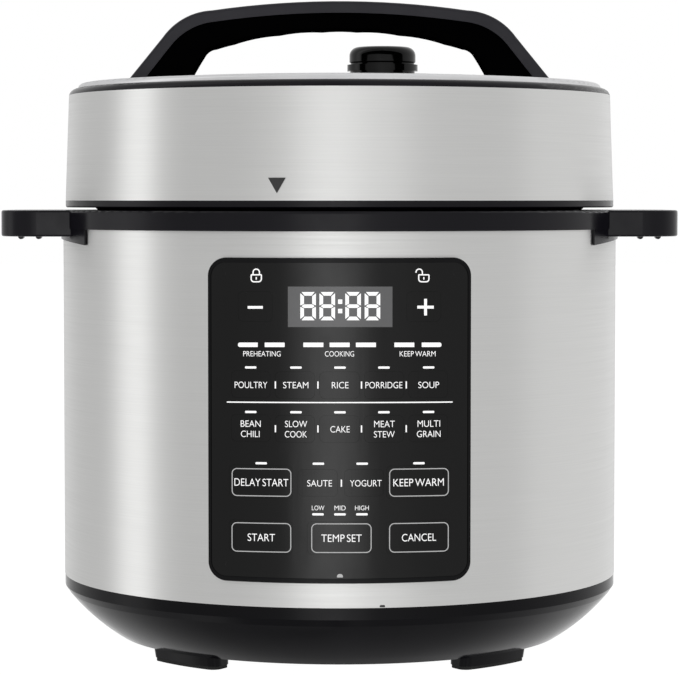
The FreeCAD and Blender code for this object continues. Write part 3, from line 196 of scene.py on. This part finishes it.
MATERIALS = {
    "steel_sleeve": brushed("brushed_sleeve", (0.71, 0.71, 0.70), 0.34, 0.0005, 0.09),
    "pot_steel": brushed("pot_steel", (0.55, 0.55, 0.55), 0.38, 0.001, 0.08),
    "cooking_steel": brushed("cooking_steel", (0.66, 0.66, 0.66), 0.24, 0.0005, 0.08),
    "plate_aluminium": metal("cast_aluminium", (0.62, 0.62, 0.63), 0.45, 900, 0.00003),
    "screw_steel": metal("screw_steel", (0.55, 0.55, 0.56), 0.28, 1500, 0.00001),
    "pin_metal": metal("pin_metal", (0.62, 0.60, 0.54), 0.25, 1500, 0.00001),
    "silver_plate": metal("silver_plate", (0.80, 0.80, 0.81), 0.36, 2200, 0.000008),
    "black_plastic": moulded(
        "black_plastic", (0.002, 0.0019, 0.0026), (0.0032, 0.003, 0.004), 0.12, 2600, 0.000004, 0.11
    ),
    "rubber_pad": moulded(
        "rubber_pad", (0.008, 0.008, 0.008), (0.014, 0.014, 0.014), 0.8, 1500, 0.00004, 0.3
    ),
    "cover_plastic": moulded(
        "cover_plastic", (0.006, 0.006, 0.007), (0.01, 0.01, 0.011), 0.55, 1800, 0.00003, 0.4
    ),
    "board_laminate": moulded(
        "board_laminate", (0.02, 0.09, 0.04), (0.03, 0.12, 0.055), 0.4, 1200, 0.00001
    ),
    "component_plastic": moulded(
        "component_plastic", (0.03, 0.03, 0.034), (0.05, 0.05, 0.055), 0.4, 1500, 0.00001
    ),
    "wire_sheath": moulded("wire_sheath", (0.35, 0.03, 0.02), (0.42, 0.045, 0.03), 0.45, 1500, 0.00001),
    "display_face": moulded(
        "display_face", (0.115, 0.115, 0.117), (0.125, 0.125, 0.127), 0.25, 2500, 0.000003, 0.3
    ),
    "light_guide": moulded("light_guide", (0.7, 0.7, 0.7), (0.8, 0.8, 0.8), 0.4, 1500, 0.000005),
    "panel_black": moulded(
        "panel_black", (0.003, 0.003, 0.0034), (0.005, 0.005, 0.0055), 0.22, 2500, 0.000004, 0.12
    ),
    "panel_film": moulded(
        "panel_film", (0.0011, 0.0011, 0.0011), (0.0015, 0.0015, 0.0015), 0.1, 2500, 0.000002, 0.25
    ),
    "cup_clear": moulded(
        "cup_clear", (0.8, 0.82, 0.84), (0.85, 0.87, 0.88), 0.12, 1500, 0.000004, Transmission_Weight=0.9
    ),
    "silicone": moulded(
        "silicone", (0.62, 0.62, 0.6), (0.7, 0.7, 0.68), 0.5, 900, 0.00001, Subsurface_Weight=0.15
    ),
    "handle_grey": moulded(
        "handle_grey", (0.015, 0.0143, 0.019), (0.019, 0.0182, 0.0235), 0.4, 2400, 0.00001, 0.25
    ),
    "grip_black": moulded(
        "grip_black", (0.0006, 0.0006, 0.0007), (0.001, 0.001, 0.0011), 0.5, 2400, 0.00001, 0.0
    ),
    "gloss_black": moulded(
        "gloss_black", (0.0008, 0.0008, 0.0008), (0.0012, 0.0012, 0.0012), 0.1, 1500, 0.000002, 0.2
    ),
}
# Both inks glow a little. This is a painted glow on the print, and the same ink also draws the display's lit
# digits and the lights.
GLOWING_WHITE_INK = glowing("glowing_white_ink", (0.82, 0.82, 0.82), 0.45)
GLOWING_GREY_INK = glowing("glowing_grey_ink", (0.48, 0.48, 0.48), 0.1)
DARK_INK = moulded("dark_ink", (0.03, 0.03, 0.03), (0.045, 0.045, 0.045), 0.5, 2000, 0.000002, 0.2)

# The collar and the lid's trims reflect a little more than the base, and are bluer
TRIM_PLASTIC = moulded(
    "trim_plastic", (0.003, 0.0026, 0.0044), (0.0045, 0.004, 0.0062), 0.2, 2600, 0.000008, 0.17
)
TRIM_NODES = ("top_collar", "lid_lower_trim", "lid_top_trim")

for part in frame["record"]["subparts"]:
    shown = frame["nodes"][part["node"]].data
    shown.materials.clear()
    in_trim = part["node"] in TRIM_NODES
    shown.materials.append(TRIM_PLASTIC if in_trim else MATERIALS[part["material_slot"]])


# Printed marks: flat outlines of (across, up) in millimetres, thickened and laid on a curved face

PRINT_RISE = 0.04
PRINT_SINK = 0.03
SAG = 0.00018


def laid(name, shapes, radius, body, slot, ink, sag=SAG, step=4.0):
    """Lay flat shapes on an upright cylinder's front as one thin piece that rides a body."""
    work = bmesh.new()
    for points in shapes:
        corners = [work.verts.new((across, 0, up)) for across, up in points]
        work.faces.new(corners)
    reach = max(abs(vertex.co.x) for vertex in work.verts)
    cuts = range(-int(reach / step), int(reach / step) + 1)
    for index in cuts:
        everything = work.verts[:] + work.edges[:] + work.faces[:]
        bmesh.ops.bisect_plane(work, geom=everything, plane_co=(index * step, 0, 0), plane_no=(1, 0, 0))
    return thickened(name, work, radius, body, ink, sag)


def thickened(name, work, radius, body, ink, sag=SAG):
    """Thicken a flat mesh and bend it onto an upright cylinder's front.

    Rows of print hang a little lower towards the sides, by the sag times the square of the distance.
    """
    bmesh.ops.triangulate(work, faces=work.faces[:])
    sheet = bmesh.ops.extrude_face_region(work, geom=work.faces[:])
    lifted = {item for item in sheet["geom"] if isinstance(item, bmesh.types.BMVert)}
    for vertex in work.verts:
        rise = PRINT_RISE if vertex in lifted else -PRINT_SINK
        across = vertex.co.x
        depth = math.sqrt((radius + rise) ** 2 - across**2)
        vertex.co = Vector((across, -depth, vertex.co.z - sag * across**2)) * MM
    bmesh.ops.recalc_face_normals(work, faces=work.faces[:])
    mesh = bpy.data.meshes.new(name)
    work.to_mesh(mesh)
    work.free()
    mesh.normals_split_custom_set_from_vertices(
        [Vector((vertex.co.x, vertex.co.y, 0)).normalized() for vertex in mesh.vertices]
    )
    return ridden(name, mesh, body, ink)


def ridden(name, mesh, body, material):
    """Show a mesh as a piece that rides a body."""
    thing = bpy.data.objects.new(name, mesh)
    scene.collection.objects.link(thing)
    mesh.materials.append(material)
    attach(thing, body)
    return thing


def rectangle(across, up, wide, tall):
    """A rectangle about a centre."""
    left, right = across - wide / 2, across + wide / 2
    low, high = up - tall / 2, up + tall / 2
    return [(left, low), (right, low), (right, high), (left, high)]


def rounded(across, up, wide, tall, radii, steps=6):
    """A rectangle with four corner radii, from the lower left one round by the lower right."""
    points = []
    corners = [(-1, -1, 180), (1, -1, 270), (1, 1, 0), (-1, 1, 90)]
    for (right, top, start), radius in zip(corners, radii):
        centre = (across + right * (wide / 2 - radius), up + top * (tall / 2 - radius))
        if not radius:
            points.append(centre)
            continue
        for index in range(steps + 1):
            angle = math.radians(start + 90 * index / steps)
            points.append((centre[0] + radius * math.cos(angle), centre[1] + radius * math.sin(angle)))
    return points


def frame_line(across, up, wide, tall, radii, line, steps=6):
    """The outline of a rounded rectangle, as quads."""
    outer = rounded(across, up, wide, tall, radii, steps)
    inner_radii = [max(radius - line, 0.02) for radius in radii]
    inner = rounded(across, up, wide - 2 * line, tall - 2 * line, inner_radii, steps)
    count = len(outer)
    return [[outer[i], outer[(i + 1) % count], inner[(i + 1) % count], inner[i]] for i in range(count)]


def stroke(points, line):
    """A line of one width through points, as quads that meet on their mitres."""
    sides = []
    for index, point in enumerate(points):
        before = Vector(points[max(index - 1, 0)])
        after = Vector(points[min(index + 1, len(points) - 1)])
        here = Vector(point)
        along = ((here - before).normalized() + (after - here).normalized()).normalized()
        out = Vector((-along.y, along.x))
        first = (here - before).normalized() if index else along
        widen = 1 / max(0.5, abs(along.dot(first)))
        sides.append((here + out * line / 2 * widen, here - out * line / 2 * widen))
    return [[tuple(a[1]), tuple(b[1]), tuple(b[0]), tuple(a[0])] for a, b in zip(sides, sides[1:])]


def arch(across, spring, half, leg_left, leg_right, steps=12):
    """The middle line of a padlock's shackle."""
    points = [(across - half, spring - leg_left)]
    for index in range(steps + 1):
        angle = math.pi - math.pi * index / steps
        points.append((across + half * math.cos(angle), spring + half * math.sin(angle)))
    points.append((across + half, spring - leg_right))
    return points


def lettering(name, words, across, up, tall, wide, radius, body, slot, ink):
    """Words in capitals of a height, fitted to a width, on an upright cylinder's front."""
    curve = bpy.data.curves.new(name, "FONT")
    curve.body = words
    curve.space_word = 0.62
    curve.offset = -0.006
    text = bpy.data.objects.new(name, curve)
    scene.collection.objects.link(text)
    bpy.context.view_layer.update()
    flat = bpy.data.meshes.new_from_object(text.evaluated_get(bpy.context.evaluated_depsgraph_get()))
    bpy.data.objects.remove(text)
    bpy.data.curves.remove(curve)
    work = bmesh.new()
    work.from_mesh(flat)
    bpy.data.meshes.remove(flat)
    bmesh.ops.remove_doubles(work, verts=work.verts[:], dist=1e-5)
    lows = [min(vertex.co[axis] for vertex in work.verts) for axis in (0, 1)]
    highs = [max(vertex.co[axis] for vertex in work.verts) for axis in (0, 1)]
    for vertex in work.verts:
        share = [(vertex.co[axis] - lows[axis]) / (highs[axis] - lows[axis]) - 0.5 for axis in (0, 1)]
        vertex.co = Vector((across + share[0] * wide, 0, up + share[1] * tall))
    return thickened(name, work, radius, body, ink)


def seven_segments(across, up, wide=7.0, tall=12.7, line=1.65, gap=0.28):
    """The seven segments of one digit."""
    left, right = across - wide / 2, across + wide / 2
    low, high = up - tall / 2, up + tall / 2
    half = line * 0.48
    inner_left, inner_right = left + line, right - line
    shapes = []
    for edge, inward in ((high, -1), (low, 1)):
        bar = [(left + gap * 2, edge), (inner_left + gap, edge + inward * line)]
        bar += [(inner_right - gap, edge + inward * line), (right - gap * 2, edge)]
        shapes.append(bar if inward < 0 else bar[::-1])
        middle = up - inward * half
        for outer, inner in ((left, inner_left), (right, inner_right)):
            post = [(outer, edge + inward * gap * 2), (inner, edge + inward * (line + gap))]
            post += [(inner, middle - inward * gap), (outer, up - inward * gap)]
            shapes.append(post)
    middle = [(left + gap * 2, up), (inner_left, up - half), (inner_right, up - half)]
    middle += [(right - gap * 2, up), (inner_right, up + half), (inner_left, up + half)]
    shapes.append(middle)
    return shapes


FILM = -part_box("panel_film")[0].y / MM
on_film = (FILM, "base", "panel_film")

# A face over each key, wider than the key but inside its hole, so that the film looks unbroken
FACE_SINK = 0.035
FACE_OVERHANG = 0.25
KEY_CORNER = 2.0
for name in sorted(frame["nodes"]):
    if not name.startswith("key_"):
        continue
    low, high = (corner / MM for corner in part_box(name))
    middle = (low + high) / 2
    wide = high.x - low.x + 2 * FACE_OVERHANG
    tall = high.z - low.z + 2 * FACE_OVERHANG
    face = rounded(middle.x, middle.z, wide, tall, [KEY_CORNER + FACE_OVERHANG] * 4)
    body = f"{name[4:]}_button"
    laid(f"face_{name[4:]}", [face], FILM - FACE_SINK, body, "panel_film", MATERIALS["panel_film"], sag=0)

# Symbols and lines on the film
LOCK_LINE = 0.55
for name, across, shift, leg in (("lock_closed", -37.5, 0, 1.1), ("lock_open", 38.0, -2.1, 0.2)):
    shapes = frame_line(across, 185.5, 5.2, 3.7, [1.6, 1.6, 0.5, 0.5], LOCK_LINE)
    shapes += stroke(arch(across + shift, 188.2, 1.45, leg, 1.1), LOCK_LINE)
    shapes.append(rounded(across, 185.5, 0.55, 1.2, [0.2] * 4))
    laid(name, shapes, *on_film, GLOWING_WHITE_INK)
laid("long_line", [rounded(0.1, 129.5, 102.4, 0.55, [0.25] * 4)], *on_film, GLOWING_WHITE_INK)
separators = [rectangle(across, 137.4, 0.6, 3.2) for across in (-28.9, -9.7, 9.9, 30.1)]
separators += [rectangle(across, 117.6, 0.6, 3.2) for across in (-28.9, -9.7, 9.9, 30.1)]
separators.append(rectangle(0.85, 93.1, 0.6, 3.2))
laid("separators", separators, *on_film, GLOWING_WHITE_INK)
laid("dot", [rounded(0.2, 51.2, 2.7, 1.6, [0, 0, 1.2, 1.2])], *on_film, GLOWING_GREY_INK)

# Bars and lights
BARS = (-41.4, -29.2, -11.75, 0.07, 11.87, 29.2, 41.6)
LIGHT_COLUMNS = (-40.1, -19.6, 0.2, 20.0, 40.25)
LIGHT_ROWS = [
    (145.25, LIGHT_COLUMNS),
    (125.1, LIGHT_COLUMNS),
    (101.9, (-35.4, -9.5, 10.2, 35.9)),
    (79.0, (-9.7, 0.2, 10.1)),
]
lights = []
for index, across in enumerate(BARS):
    left = 0.9 if index == 0 else 0.1
    right = 0.9 if index == len(BARS) - 1 else 0.1
    lights.append(rounded(across, 155.5, 9.0, 2.0, [left, right, right, left]))
for level, columns in LIGHT_ROWS:
    lights += [rounded(across, level, 5.2, 1.0, [0.4] * 4) for across in columns]
laid("lights", lights, *on_film, GLOWING_WHITE_INK)

# The display: a grey window with four lit digits and a colon
laid("display_window", [rectangle(0.3, 172.6, 47.0, 18.2)], *on_film, MATERIALS["display_face"])
digits = []
for across in (-14.1, -5.5, 6.1, 14.8):
    digits += seven_segments(across, 172.9)
digits += [rectangle(0.3, level, 1.9, 2.0) for level in (174.9, 170.7)]
laid("digits", digits, FILM + 0.06, "base", "panel_film", GLOWING_WHITE_INK)

# Words: (name, words, across, up, cap height, width) on the film, or on a key where a key is named
FILM_WORDS = [
    ("preheating", "PREHEATING", -35.0, 151.45, 2.4, 17.0),
    ("cooking", "COOKING", 0.0, 151.45, 2.4, 13.1),
    ("warming", "KEEP WARM", 35.25, 151.45, 2.4, 16.3),
    ("low", "LOW", -9.65, 81.9, 2.1, 5.6),
    ("mid", "MID", 0.25, 81.9, 2.1, 5.0),
    ("high", "HIGH", 10.1, 81.9, 2.1, 6.2),
]
KEY_WORDS = [
    ("poultry", "POULTRY", -40.0, 137.35, 2.9, 14.9),
    ("steam", "STEAM", -19.7, 137.35, 2.9, 11.4),
    ("rice", "RICE", 0.3, 137.35, 2.9, 7.5),
    ("porridge", "PORRIDGE", 20.0, 137.35, 2.9, 16.7),
    ("soup", "SOUP", 40.3, 137.35, 2.9, 9.5),
    ("bean_chili", "BEAN", -40.15, 119.8, 2.9, 9.1),
    ("bean_chili", "CHILI", -40.35, 115.15, 2.9, 8.5),
    ("slow_cook", "SLOW", -19.55, 119.8, 2.9, 10.0),
    ("slow_cook", "COOK", -19.65, 115.15, 2.9, 10.0),
    ("cake", "CAKE", 0.25, 117.45, 2.9, 8.7),
    ("meat_stew", "MEAT", 20.25, 119.8, 2.9, 9.3),
    ("meat_stew", "STEW", 20.2, 115.15, 2.9, 9.4),
    ("multi_grain", "MULTI", 40.4, 119.8, 2.9, 10.3),
    ("multi_grain", "GRAIN", 40.35, 115.15, 2.9, 10.8),
    ("saute", "SAUTE", -8.95, 93.05, 2.9, 11.2),
    ("yogurt", "YOGURT", 11.85, 93.05, 2.9, 14.3),
    ("delay_start", "DELAY START", -35.35, 93.2, 3.4, 24.6),
    ("keep_warm", "KEEP WARM", 35.8, 93.2, 3.4, 23.0),
    ("start", "START", -35.4, 68.2, 3.4, 12.4),
    ("temp_set", "TEMP SET", 0.9, 68.2, 3.4, 18.2),
    ("cancel", "CANCEL", 36.0, 68.2, 3.4, 15.6),
]
for name, words, across, up, tall, wide in FILM_WORDS:
    lettering(f"label_{name}", words, across, up, tall, wide, *on_film, GLOWING_WHITE_INK)
for name, words, across, up, tall, wide in KEY_WORDS:
    label = f"label_{words.replace(' ', '_').lower()}_key"
    lettering(label, words, across, up, tall, wide, FILM, f"{name}_button", "panel_film", GLOWING_WHITE_INK)

BOXES = [
    ("delay_start", -35.3, 93.2, 12.7),
    ("keep_warm", 36.0, 93.2, 12.7),
    ("start", -35.4, 68.2, 13.4),
    ("temp_set", 0.87, 68.2, 13.4),
    ("cancel", 36.0, 68.2, 13.4),
]
for name, across, up, tall in BOXES:
    shapes = frame_line(across, up, 27.2, tall, [2.4] * 4, 0.42)
    laid(f"outline_{name}", shapes, FILM, f"{name}_button", "panel_film", GLOWING_GREY_INK)
laid("minus_sign", [rectangle(-38.0, 172.4, 6.9, 1.2)], FILM, "minus_button", "panel_film", GLOWING_WHITE_INK)
plus = [rectangle(38.8, 172.5, 7.5, 1.3), rectangle(38.8, 174.7, 1.3, 3.1), rectangle(38.8, 170.3, 1.3, 3.1)]
laid("plus_sign", plus, FILM, "plus_button", "panel_film", GLOWING_WHITE_INK)

# A small dark mark at the lower edge of the steel sleeve
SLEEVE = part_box("body_skin")[1].x / MM
mark = rounded(19.4, 37.0, 2.4, 1.0, [0, 0, 0.45, 0.45])
laid("sleeve_notch", [mark], SLEEVE, "base", "black_plastic", DARK_INK, sag=0)

# The mark on the lid's band that shows where the lid locks
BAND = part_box("lid_band")[1].x / MM
MARK_TURN = math.radians(-12)
arrow = [(-4.05, 230.5), (0, 223.5), (4.05, 230.5)]
lid_mark = laid("lid_mark", [arrow], BAND, "lid", "black_plastic", DARK_INK, sag=0)
lid_mark.data.transform(Matrix.Rotation(MARK_TURN, 4, "Z"))

# The sensor's spring, as a copy with its own mesh that rides the base; nothing here makes it shorten as the
# sensor is pressed down
spring_mesh = frame["nodes"]["sensor_spring"].data.copy()
spring_mesh.materials.clear()
spring = ridden("pressed_spring", spring_mesh, "base", MATERIALS["screw_steel"])
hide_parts("sensor_spring")
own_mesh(spring)

# The skirt under the release knob's flange, a plain cylinder that turns with the knob
SKIRT_GAP = 0.3
SKIRT_TALL = 4.2
SKIRT_RADIUS = 16.6
knob_low, knob_high = (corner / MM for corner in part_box("steam_knob"))
knob_middle = (knob_low + knob_high) / 2
work = bmesh.new()
bmesh.ops.create_cone(
    work,
    cap_ends=True,
    segments=96,
    radius1=SKIRT_RADIUS * MM,
    radius2=SKIRT_RADIUS * MM,
    depth=SKIRT_TALL * MM,
)
centre = Vector((knob_middle.x, knob_middle.y, knob_low.z + SKIRT_GAP + SKIRT_TALL / 2)) * MM
bmesh.ops.translate(work, verts=work.verts[:], vec=centre)
skirt = bpy.data.meshes.new("knob_skirt")
work.to_mesh(skirt)
work.free()
ridden("knob_skirt", skirt, "release_knob", MATERIALS["gloss_black"])

# Floor, backdrop and light

WHITE = (1.0, 1.0, 1.0, 1.0)


def stage_material(name, glow, albedo):
    """A pale surface bright enough in itself that the object's shadow hardly shows."""
    made, nodes, surface = shader(name, Roughness=0.9, Specular_IOR_Level=0.0, Emission_Strength=glow)
    surface.inputs["Base Color"].default_value = (albedo, albedo, albedo, 1)
    surface.inputs["Emission Color"].default_value = WHITE
    return made


def staged(name, mesh, material):
    """A floor or backdrop."""
    thing = bpy.data.objects.new(name, mesh)
    mesh.materials.append(material)
    scene.collection.objects.link(thing)
    return thing


FLOOR_RADIUS = 7.9
BACKDROP_RADIUS = 8
work = bmesh.new()
bmesh.ops.create_circle(work, cap_ends=True, segments=64, radius=FLOOR_RADIUS)
floor_mesh = bpy.data.meshes.new("floor")
work.to_mesh(floor_mesh)
work.free()
floor = staged("floor", floor_mesh, stage_material("floor_white", 1.0, 0.08))
floor.location.z = -0.0002
floor.visible_glossy = False
work = bmesh.new()
bmesh.ops.create_icosphere(work, subdivisions=5, radius=BACKDROP_RADIUS)
dome_mesh = bpy.data.meshes.new("backdrop")
work.to_mesh(dome_mesh)
work.free()
backdrop = staged("backdrop", dome_mesh, stage_material("backdrop_white", 1.0, 0.0))
for kind in ("diffuse", "glossy", "transmission", "volume_scatter", "shadow"):
    setattr(backdrop, f"visible_{kind}", False)

# The studio: brightness by direction round the cooker, 0 at the front and positive to the right
STUDIO = [
    (-180, 1.08),
    (-155, 0.94),
    (-135, 0.83),
    (-114, 0.83),
    (-107, 1.00),
    (-98, 1.60),
    (-88, 1.66),
    (-80, 0.90),
    (-72, 0.82),
    (-65, 0.80),
    (-57, 0.85),
    (-44, 0.85),
    (-37, 0.90),
    (-31, 0.95),
    (-24, 1.03),
    (-18, 1.02),
    (-12, 0.90),
    (-6, 0.79),
    (0, 0.80),
    (6, 0.93),
    (12, 1.11),
    (20, 1.22),
    (27, 1.10),
    (32, 1.01),
    (38, 0.95),
    (51, 0.92),
    (76, 0.90),
    (88, 1.04),
    (110, 1.06),
    (140, 1.04),
    (180, 1.10),
]
BRIGHTEST = 1.6
world = bpy.data.worlds.new("studio")
scene.world = world
world.use_nodes = True
nodes = Nodes(world.node_tree)
place = nodes.add("ShaderNodeTexCoord")
split = nodes.add("ShaderNodeSeparateXYZ")
nodes.join(place.outputs["Generated"], split.inputs["Vector"])
forward = nodes.math("MULTIPLY", split.outputs["Y"], -1.0)
azimuth = nodes.math("ARCTAN2", split.outputs["X"], forward)
share = nodes.ranged(azimuth, 0, 1, -math.pi, math.pi)
ramp = nodes.add("ShaderNodeValToRGB")
while len(ramp.color_ramp.elements) < len(STUDIO):
    ramp.color_ramp.elements.new(0.5)
for index, (angle, level) in enumerate(STUDIO):
    stop = ramp.color_ramp.elements[index]
    stop.position = (angle + 180) / 360
    stop.color = (level / BRIGHTEST, level / BRIGHTEST, level / BRIGHTEST, 1)
nodes.join(share, ramp.inputs["Fac"])
# A softbox stands a little left of the front and fades to nothing at its sides
BELL = math.radians(22)
BELL_TURN = math.radians(3.3)
SOFTBOX_POWER = 3.2
off_centre = nodes.math("ABSOLUTE", nodes.math("ADD", azimuth, BELL_TURN), 0)
bell = nodes.ranged(off_centre, 1, 0, 0, BELL)
bell.node.interpolation_type = "SMOOTHSTEP"
up_in = nodes.ranged(split.outputs["Z"], 0, 1, -0.21, -0.15)
up_out = nodes.ranged(split.outputs["Z"], 1, 0, 0.0, 0.04)
softbox = nodes.math("MULTIPLY", bell, nodes.math("MULTIPLY", up_in, up_out))
# Less light comes from straight below
around = nodes.math("MULTIPLY", ramp.outputs["Color"], BRIGHTEST)
below = nodes.ranged(split.outputs["Z"], 0.6, 1, -0.88, -0.62)
lit = nodes.math("MULTIPLY", softbox, SOFTBOX_POWER)
glow = nodes.math("ADD", nodes.math("MULTIPLY", around, below), lit)
background = nodes.add("ShaderNodeBackground")
nodes.join(glow, background.inputs["Strength"])
output = nodes.add("ShaderNodeOutputWorld")
nodes.join(background.outputs["Background"], output.inputs["Surface"])

# Camera

lens = bpy.data.cameras.new("camera")
lens.lens = 145.6
lens.sensor_width = 36
camera = bpy.data.objects.new("camera", lens)
camera.location = (0, -1.370, 0.2212)
camera.rotation_euler = (math.radians(87.10), 0, 0)
scene.collection.objects.link(camera)
scene.camera = camera
scene.view_settings.view_transform = "Standard"
